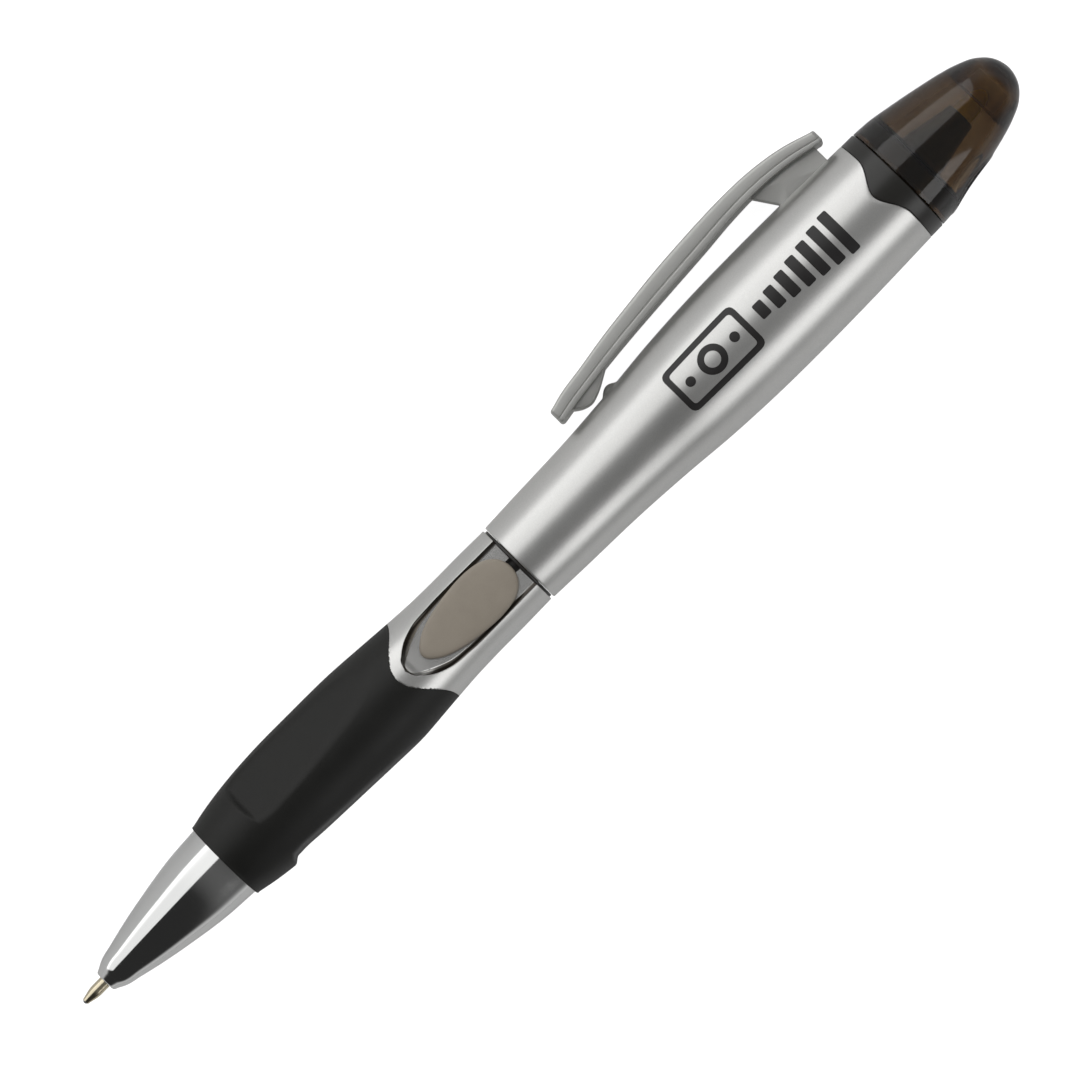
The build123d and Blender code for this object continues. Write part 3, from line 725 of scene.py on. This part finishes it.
def box_loop(middle, wide, long, radius):
    """A rounded rectangle about a middle (across, along), as a closed loop of points."""
    x, z = middle
    corners = [(x - wide / 2, z - long / 2), (x + wide / 2, z - long / 2),
               (x + wide / 2, z + long / 2), (x - wide / 2, z + long / 2)]
    loop = rounded(corners, radius, closed=True, steps=5)
    fill = [np.linspace(a, b, 6, endpoint=False) for a, b in zip(loop, np.roll(loop, -1, 0))]
    return np.concatenate(fill)


def round_loop(middle, radius, count=120):
    """A circle about a middle, with as many points as a rounded rectangle has."""
    t = np.linspace(0, 2 * np.pi, count, endpoint=False)
    return np.array(middle) + radius * np.stack([np.cos(t), np.sin(t)], 1)


def solid(loop, middle):
    """A filled shape: its loop closed on a point in its middle."""
    return film([loop, np.broadcast_to(np.array(middle, float), loop.shape)])


# %% Banknote and bars
NOTE = (0.0, 99.6)
BARS, FIRST_BAR, BAR_STEP, BAR_LONG = 7, 107.3, 2.0, 1.3

marks = [film([box_loop(NOTE, 6.2, 11.2, 1.0), box_loop(NOTE, 4.7, 9.7, 0.5)])]
marks.append(film([round_loop(NOTE, 1.75), round_loop(NOTE, 0.95)]))
for offset in (-3.45, 3.45):
    dot = (0.0, NOTE[1] + offset)
    marks.append(solid(round_loop(dot, 0.6), dot))
for step in range(BARS):
    bar = (0.0, FIRST_BAR + BAR_STEP * step)
    marks.append(solid(box_loop(bar, 2.0 + 0.65 * step, BAR_LONG, 0.25), bar))
make_piece("banknote_print", marks, "barrel", "black_moulding", sharp=40)

# %% [markdown]
# ## Finishes
#
# Every finish reads the same coordinates: the object's own, turned and shifted so that they are pen
# millimetres. Patterns then lie straight along the pen and keep their scale from piece to piece.
# What several finishes share is a node group, built once: a moulded grain, fine lines left by a
# lathe, and the flakes of a metallic lacquer. The groups put out colours, values and heights; the
# Principled shader stays in the material.


# %% Node helpers
def link(tree, source, target):
    tree.links.new(source, target)


def node(tree, kind, **values):
    """A node with its properties and, where the key is a socket's name, its input set."""
    made = tree.nodes.new(kind)
    for key, value in values.items():
        if hasattr(made, key):
            setattr(made, key, value)
        else:
            made.inputs[key.replace("_", " ")].default_value = value
    return made


def new_group(name, inputs, outputs):
    """An empty group with float, vector or colour sockets, and its input and output nodes."""
    tree = bpy.data.node_groups.new(name, "ShaderNodeTree")
    kinds = {"f": "NodeSocketFloat", "v": "NodeSocketVector", "c": "NodeSocketColor"}
    for label, kind in inputs.items():
        tree.interface.new_socket(label, in_out="INPUT", socket_type=kinds[kind])
    for label, kind in outputs.items():
        tree.interface.new_socket(label, in_out="OUTPUT", socket_type=kinds[kind])
    return tree, tree.nodes.new("NodeGroupInput"), tree.nodes.new("NodeGroupOutput")


def pen_millimetres(tree):
    """Object coordinates turned into pen millimetres by a Mapping node."""
    place = node(tree, "ShaderNodeTexCoord")
    mapping = node(tree, "ShaderNodeMapping", vector_type="TEXTURE")
    mapping.inputs["Location"].default_value = tuple(ball_end)
    mapping.inputs["Rotation"].default_value = Matrix(pen_axes.T.tolist()).to_euler()
    mapping.inputs["Scale"].default_value = (0.001, 0.001, 0.001)
    link(tree, place.outputs["Object"], mapping.inputs["Vector"])
    return mapping.outputs["Vector"]


# %% Shared group: moulded grain
grain, g_in, g_out = new_group(
    "Moulded Grain",
    {"Vector": "v", "Scale": "f", "Colour": "c", "Second Colour": "c", "Roughness": "f", "Spread": "f"},
    {"Colour": "c", "Roughness": "f", "Height": "f"},
)
fine = node(grain, "ShaderNodeTexNoise", Detail=4.0)
cloud_scale = node(grain, "ShaderNodeMath", operation="MULTIPLY")
cloud_scale.inputs[1].default_value = 0.045
cloud = node(grain, "ShaderNodeTexNoise", Detail=3.0)
both = node(grain, "ShaderNodeMath", operation="ADD", use_clamp=True)
tint = node(grain, "ShaderNodeMix", data_type="RGBA")
rough = node(grain, "ShaderNodeMath", operation="MULTIPLY_ADD")
centred = node(grain, "ShaderNodeMath", operation="SUBTRACT")
centred.inputs[1].default_value = 0.5
half = node(grain, "ShaderNodeMath", operation="MULTIPLY_ADD")
half.inputs[1].default_value = 0.5
half.inputs[2].default_value = -0.25
link(grain, g_in.outputs["Vector"], fine.inputs["Vector"])
link(grain, g_in.outputs["Vector"], cloud.inputs["Vector"])
link(grain, g_in.outputs["Scale"], fine.inputs["Scale"])
link(grain, g_in.outputs["Scale"], cloud_scale.inputs[0])
link(grain, cloud_scale.outputs[0], cloud.inputs["Scale"])
link(grain, fine.outputs["Fac"], half.inputs[0])
link(grain, half.outputs[0], both.inputs[0])
link(grain, cloud.outputs["Fac"], both.inputs[1])
link(grain, both.outputs[0], tint.inputs["Factor"])
link(grain, g_in.outputs["Colour"], tint.inputs["A"])
link(grain, g_in.outputs["Second Colour"], tint.inputs["B"])
link(grain, both.outputs[0], centred.inputs[0])
link(grain, centred.outputs[0], rough.inputs[0])
link(grain, g_in.outputs["Spread"], rough.inputs[1])
link(grain, g_in.outputs["Roughness"], rough.inputs[2])
link(grain, tint.outputs["Result"], g_out.inputs["Colour"])
link(grain, rough.outputs[0], g_out.inputs["Roughness"])
link(grain, fine.outputs["Fac"], g_out.inputs["Height"])
print(grain.name, "has", len(grain.nodes), "nodes")

# %% Shared group: lathe lines
lathe, l_in, l_out = new_group("Lathe Lines", {"Vector": "v", "Scale": "f"}, {"Height": "f"})
parts = node(lathe, "ShaderNodeSeparateXYZ")
lines = node(lathe, "ShaderNodeTexNoise", noise_dimensions="1D", Detail=5.0)
along_scale = node(lathe, "ShaderNodeMath", operation="MULTIPLY")
link(lathe, l_in.outputs["Vector"], parts.inputs[0])
link(lathe, parts.outputs["Z"], along_scale.inputs[0])
link(lathe, l_in.outputs["Scale"], along_scale.inputs[1])
link(lathe, along_scale.outputs[0], lines.inputs["W"])
link(lathe, lines.outputs["Fac"], l_out.inputs["Height"])
print(lathe.name, "has", len(lathe.nodes), "nodes")

# %% Shared group: lacquer flakes
flakes, f_in, f_out = new_group(
    "Lacquer Flakes",
    {"Vector": "v", "Scale": "f", "Colour": "c", "Sparkle": "f"},
    {"Colour": "c", "Height": "f"},
)
cells = node(flakes, "ShaderNodeTexVoronoi")
shade = node(flakes, "ShaderNodeSeparateColor")
level = node(flakes, "ShaderNodeMapRange", To_Min=-0.5, To_Max=0.5)
amount = node(flakes, "ShaderNodeMath", operation="MULTIPLY_ADD")
amount.inputs[2].default_value = 1.0
lit = node(flakes, "ShaderNodeVectorMath", operation="SCALE")
link(flakes, f_in.outputs["Vector"], cells.inputs["Vector"])
link(flakes, f_in.outputs["Scale"], cells.inputs["Scale"])
link(flakes, cells.outputs["Color"], shade.inputs[0])
link(flakes, shade.outputs[0], level.inputs["Value"])
link(flakes, level.outputs[0], amount.inputs[0])
link(flakes, f_in.outputs["Sparkle"], amount.inputs[1])
link(flakes, f_in.outputs["Colour"], lit.inputs[0])
link(flakes, amount.outputs[0], lit.inputs["Scale"])
link(flakes, lit.outputs[0], f_out.inputs["Colour"])
link(flakes, shade.outputs[1], f_out.inputs["Height"])
print(flakes.name, "has", len(flakes.nodes), "nodes")

# %% [markdown]
# ## A recipe for plain finishes
#
# Moulded plastic, rubber, felt and grease differ in numbers more than in kind: two close colours,
# a roughness with some spread, a grain size and how deep the grain is. One function makes them all,
# and the special ones add a step of their own: flakes in the lacquer, painted shade along the groove at
# the recess's edge, lines off the lathe, and a body that takes up light in the smoke cap.


# %% Finish recipe
def finish(name, colour, second, roughness, spread, grain_scale, depth, **shader_values):
    """A material with the moulded grain in its colour, roughness and bump, and plain shader values."""
    material = bpy.data.materials.new(name)
    material.use_nodes = True
    tree = material.node_tree
    shader = tree.nodes["Principled BSDF"]
    place = pen_millimetres(tree)
    texture = node(tree, "ShaderNodeGroup", node_tree=grain)
    texture.inputs["Scale"].default_value = grain_scale
    texture.inputs["Colour"].default_value = (*colour, 1)
    texture.inputs["Second Colour"].default_value = (*second, 1)
    texture.inputs["Roughness"].default_value = roughness
    texture.inputs["Spread"].default_value = spread
    bump = node(tree, "ShaderNodeBump")
    bump.inputs["Strength"].default_value = 0.5
    bump.inputs["Distance"].default_value = depth / 1000
    link(tree, place, texture.inputs["Vector"])
    link(tree, texture.outputs["Colour"], shader.inputs["Base Color"])
    link(tree, texture.outputs["Roughness"], shader.inputs["Roughness"])
    link(tree, texture.outputs["Height"], bump.inputs["Height"])
    link(tree, bump.outputs["Normal"], shader.inputs["Normal"])
    for label, value in shader_values.items():
        shader.inputs[label.replace("_", " ")].default_value = value
    return material


def silver_lacquer(name):
    """Warm silver lacquer: flakes in the colour, over a fair moulding."""
    material = finish(
        name, (0.60, 0.598, 0.585), (0.66, 0.657, 0.642), 0.34, 0.06, 4.0, 0.004, Metallic=0.9)
    tree = material.node_tree
    shader = tree.nodes["Principled BSDF"]
    grain_node = shader.inputs["Base Color"].links[0].from_node
    sparkle = node(tree, "ShaderNodeGroup", node_tree=flakes)
    sparkle.inputs["Scale"].default_value = 22.0
    sparkle.inputs["Sparkle"].default_value = 0.12
    link(tree, grain_node.inputs["Vector"].links[0].from_socket, sparkle.inputs["Vector"])
    link(tree, grain_node.outputs["Colour"], sparkle.inputs["Colour"])
    link(tree, sparkle.outputs["Colour"], shader.inputs["Base Color"])
    return material


def polish_and_shade_recess(material):
    """The recess floor is smoother than the outside, and a band along its groove is painted dark as shade."""
    tree = material.node_tree
    shader = tree.nodes["Principled BSDF"]
    colour = shader.inputs["Base Color"].links[0].from_socket
    rough = shader.inputs["Roughness"].links[0].from_socket
    recess = node(tree, "ShaderNodeAttribute", attribute_name="recess")
    groove_shade = node(tree, "ShaderNodeAttribute", attribute_name="groove_shade")
    # painted shade: the groove's band is darkened in the base colour
    groove_shade_mix = node(tree, "ShaderNodeMix", data_type="RGBA")
    groove_shade_mix.inputs["B"].default_value = (0.045, 0.040, 0.034, 1)
    smoother = node(tree, "ShaderNodeMath", operation="MULTIPLY_ADD")
    smoother.inputs[1].default_value = -0.14
    link(tree, groove_shade.outputs["Fac"], groove_shade_mix.inputs["Factor"])
    link(tree, colour, groove_shade_mix.inputs["A"])
    link(tree, recess.outputs["Fac"], smoother.inputs[0])
    link(tree, rough, smoother.inputs[2])
    link(tree, groove_shade_mix.outputs["Result"], shader.inputs["Base Color"])
    link(tree, smoother.outputs[0], shader.inputs["Roughness"])
    return material


def turned_metal(name, colour, second, roughness, line_scale, depth):
    """Metal off a lathe: fine lines round the pen take the grain's place in the bump."""
    material = finish(name, colour, second, roughness, 0.1, 3.0, depth, Metallic=1.0)
    tree = material.node_tree
    bump = next(n for n in tree.nodes if n.bl_idname == "ShaderNodeBump")
    lines = node(tree, "ShaderNodeGroup", node_tree=lathe)
    lines.inputs["Scale"].default_value = line_scale
    grain_node = bump.inputs["Height"].links[0].from_node
    link(tree, grain_node.inputs["Vector"].links[0].from_socket, lines.inputs["Vector"])
    link(tree, lines.outputs["Height"], bump.inputs["Height"])
    return material


def smoke_plastic():
    """Clear plastic whose body takes up light: the longer the way through it, the browner and darker."""
    material = finish("smoke cap", (0.86, 0.83, 0.79), (0.94, 0.92, 0.89), 0.06, 0.05, 1.5, 0.002,
                      Transmission_Weight=1.0, IOR=1.49)
    tree = material.node_tree
    body = node(tree, "ShaderNodeVolumeAbsorption")
    body.inputs["Color"].default_value = (0.52, 0.39, 0.17, 1)
    body.inputs["Density"].default_value = 1200.0
    link(tree, body.outputs["Volume"], tree.nodes["Material Output"].inputs["Volume"])
    return material


# %% Make the finishes
finishes = {
    "silver_paint": silver_lacquer("silver lacquer"),
    "grip_rubber": finish(
        "black rubber", (0.0075, 0.0075, 0.0065), (0.013, 0.013, 0.0115), 0.50, 0.14, 9.0, 0.02,
        Specular_IOR_Level=0.32),
    "nose_chrome": turned_metal("plated nose", (0.66, 0.665, 0.66), (0.70, 0.70, 0.69), 0.09, 6.0, 0.002),
    "taupe_inlay": finish(
        "taupe moulding", (0.315, 0.275, 0.222), (0.40, 0.352, 0.29), 0.52, 0.12, 9.0, 0.02),
    "clip_grey": finish(
        "grey lacquer", (0.46, 0.46, 0.445), (0.52, 0.52, 0.50), 0.36, 0.10, 5.0, 0.006, Metallic=0.6),
    "smoke_cap": smoke_plastic(),
    "smoke_collar": finish(
        "dark smoke", (0.012, 0.0115, 0.010), (0.020, 0.019, 0.016), 0.30, 0.10, 2.0, 0.001),
    "black_moulding": finish(
        "black moulding", (0.014, 0.012, 0.011), (0.024, 0.021, 0.019), 0.40, 0.12, 5.0, 0.002),
    "natural_moulding": finish(
        "natural moulding", (0.62, 0.60, 0.54), (0.68, 0.66, 0.60), 0.45, 0.1, 5.0, 0.008),
    "amber_felt": finish(
        "amber felt", (0.85, 0.70, 0.05), (0.95, 0.84, 0.12), 0.75, 0.1, 14.0, 0.05, Sheen_Weight=0.2),
    "reservoir_felt": finish(
        "reservoir felt", (0.60, 0.53, 0.33), (0.70, 0.63, 0.42), 0.85, 0.1, 10.0, 0.06),
    "ink_black": finish("black ink", (0.004, 0.004, 0.010), (0.008, 0.008, 0.016), 0.12, 0.05, 3.0, 0.002),
    "follower_grease": finish(
        "follower grease", (0.60, 0.56, 0.44), (0.68, 0.64, 0.52), 0.18, 0.08, 2.0, 0.01),
    "spring_steel": turned_metal("spring steel", (0.50, 0.50, 0.50), (0.58, 0.58, 0.58), 0.28, 9.0, 0.004),
    "refill_brass": turned_metal("drawn brass", (0.66, 0.48, 0.22), (0.72, 0.54, 0.27), 0.25, 5.0, 0.003),
    "tip_alloy": turned_metal(
        "turned nickel silver", (0.62, 0.55, 0.40), (0.70, 0.63, 0.48), 0.20, 12.0, 0.004),
    "ball_carbide": turned_metal("carbide", (0.30, 0.30, 0.31), (0.36, 0.36, 0.37), 0.15, 8.0, 0.001),
}
own_finishes = {
    # the lower barrel's lacquer, with painted shade along the recess's groove
    "lower_shell": polish_and_shade_recess(silver_lacquer("silver lacquer with recess shade")),
    "banknote_print": finish(
        "print ink", (0.010, 0.009, 0.009), (0.020, 0.018, 0.018), 0.42, 0.12, 16.0, 0.006),
}
print(len(finishes) + len(own_finishes), "finishes")

# %% Dress the pieces
slots = {entry["node"]: entry["material_slot"] for entry in frame["record"]["subparts"]}
for name, cad_node in frame["nodes"].items():
    cad_node.data.materials.clear()
    cad_node.data.materials.append(finishes[slots[name]])
pieces = [made for made in bpy.data.objects if made.type == "MESH" and "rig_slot" in made]
for piece in pieces:
    piece.data.materials.clear()
    piece.data.materials.append(own_finishes.get(piece.name, finishes[piece["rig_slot"]]))
print("dressed:", len(frame["nodes"]), "CAD nodes and", len(pieces), "pieces")

# %% [markdown]
# ## Table, light and camera
#
# The pen lies on a plain white table. The table glows, and more for the camera than for the pen, so
# that it is white in the picture without filling the pen's undersides with light. A large soft light
# stands low on the clip's side and a small one on the other, so the round lacquer shows a bright
# band on each side of a darker middle. The room is brighter near the horizon than overhead, and dark
# past the writing end, which gives the plated nose its black side. The camera looks down on the
# front inlay, turned a few degrees towards the clip, through a long lens; the pen runs across its
# picture from the lower left to the upper right.

# %% Table
HALF_TABLE = 3.0
SEEN_GLOW, CAST_GLOW = 0.76, 0.14

table_mesh = bpy.data.meshes.new("table")
corners = [(x * HALF_TABLE, y * HALF_TABLE, 0) for x, y in ((-1, -1), (1, -1), (1, 1), (-1, 1))]
table_mesh.from_pydata(corners, [], [(0, 1, 2, 3)])
table = bpy.data.objects.new("table", table_mesh)
bpy.context.scene.collection.objects.link(table)
table_white = finish(
    "white table", (0.86, 0.86, 0.86), (0.88, 0.88, 0.88), 0.6, 0.05, 0.2, 0.001, Specular_IOR_Level=0.1)
table_tree = table_white.node_tree
table_shader = table_tree.nodes["Principled BSDF"]
seen = node(table_tree, "ShaderNodeLightPath")
glow = node(table_tree, "ShaderNodeMath", operation="MULTIPLY_ADD")
glow.inputs[1].default_value = SEEN_GLOW
glow.inputs[2].default_value = CAST_GLOW
link(table_tree, seen.outputs["Is Camera Ray"], glow.inputs[0])
link(table_tree, glow.outputs[0], table_shader.inputs["Emission Strength"])
table_shader.inputs["Emission Color"].default_value = (1, 1, 1, 1)
table.data.materials.append(table_white)
print("table:", 2 * HALF_TABLE, "m square")

# %% Camera
VIEW_TURN, LEAN = math.radians(5.0), math.atan2(0.7111, 0.7031)
MM_PER_FRAME, VIEW_MIDDLE = 119.8, 72.07
DISTANCE, SENSOR = 1.0, 36.0

toward = front * math.cos(VIEW_TURN) - side * math.sin(VIEW_TURN)
across = -side * math.cos(VIEW_TURN) - front * math.sin(VIEW_TURN)
right = up * math.cos(LEAN) + across * math.sin(LEAN)
above = up * math.sin(LEAN) - across * math.cos(LEAN)
aim = lay([0, 0, VIEW_MIDDLE]) - across * 0.00014
camera_data = bpy.data.cameras.new("camera")
camera_data.sensor_width = SENSOR
camera_data.lens = SENSOR * DISTANCE * 1000 / MM_PER_FRAME
camera_data.clip_end = 20
camera = bpy.data.objects.new("camera", camera_data)
pose = np.eye(4)
pose[:3] = np.stack([right, above, toward, aim + toward * DISTANCE], 1)
camera.matrix_world = Matrix(pose.tolist())
bpy.context.scene.collection.objects.link(camera)
bpy.context.scene.camera = camera
print(f"lens: {camera_data.lens:.0f} mm")


# %% Lights
def soft_light(name, degrees, distance, length, width, along, radiance):
    """A flat light beside the pen: degrees round from the view, facing the pen, shifted along it.

    Its power is its radiance times pi times its area, so each light looks as bright as asked,
    whatever its size.
    """
    t = math.radians(degrees)
    away = toward * math.cos(t) + across * math.sin(t)
    data = bpy.data.lights.new(name, "AREA")
    data.shape = "RECTANGLE"
    data.size, data.size_y = length, width
    data.energy = radiance * math.pi * length * width
    lamp = bpy.data.objects.new(name, data)
    place = Vector(aim + away * distance + up * along)
    axes = Matrix(np.stack([up, np.cross(away, up), away], 1).tolist())
    lamp.matrix_world = Matrix.LocRotScale(place, axes, None)
    lamp.visible_camera = False
    bpy.context.scene.collection.objects.link(lamp)
    print(f"{name}: {data.energy:.1f} W")


soft_light("clip side light", -48, 0.75, 1.5, 0.95, -0.10, 1.12)
soft_light("far side light", 61, 0.75, 0.5, 0.38, 0.13, 1.6)


# %% The room round the pen
world = bpy.data.worlds.new("studio")
bpy.context.scene.world = world
world.use_nodes = True
room = world.node_tree
sky = room.nodes["Background"]
direction = node(room, "ShaderNodeTexCoord")
split = node(room, "ShaderNodeSeparateXYZ")
rim = node(room, "ShaderNodeMapRange", From_Min=0.10, From_Max=0.42, To_Min=0.62, To_Max=0.25)
past_tip = node(room, "ShaderNodeMapRange", From_Min=0.02, From_Max=0.30, To_Min=1.0, To_Max=0.12)
raised = node(room, "ShaderNodeMapRange", From_Min=0.15, From_Max=0.30)
dim = node(room, "ShaderNodeMix", data_type="FLOAT")
dim.inputs["A"].default_value = 1.0
strength = node(room, "ShaderNodeMath", operation="MULTIPLY")
link(room, direction.outputs["Generated"], split.inputs[0])
link(room, split.outputs["Z"], rim.inputs["Value"])
link(room, split.outputs["Z"], raised.inputs["Value"])
link(room, split.outputs["X"], past_tip.inputs["Value"])
link(room, raised.outputs[0], dim.inputs["Factor"])
link(room, past_tip.outputs[0], dim.inputs["B"])
link(room, rim.outputs[0], strength.inputs[0])
link(room, dim.outputs["Result"], strength.inputs[1])
link(room, strength.outputs[0], sky.inputs["Strength"])
sky.inputs["Color"].default_value = (1, 1, 1, 1)
bpy.context.scene.view_settings.view_transform = "Standard"
print("room:", len(room.nodes), "nodes")
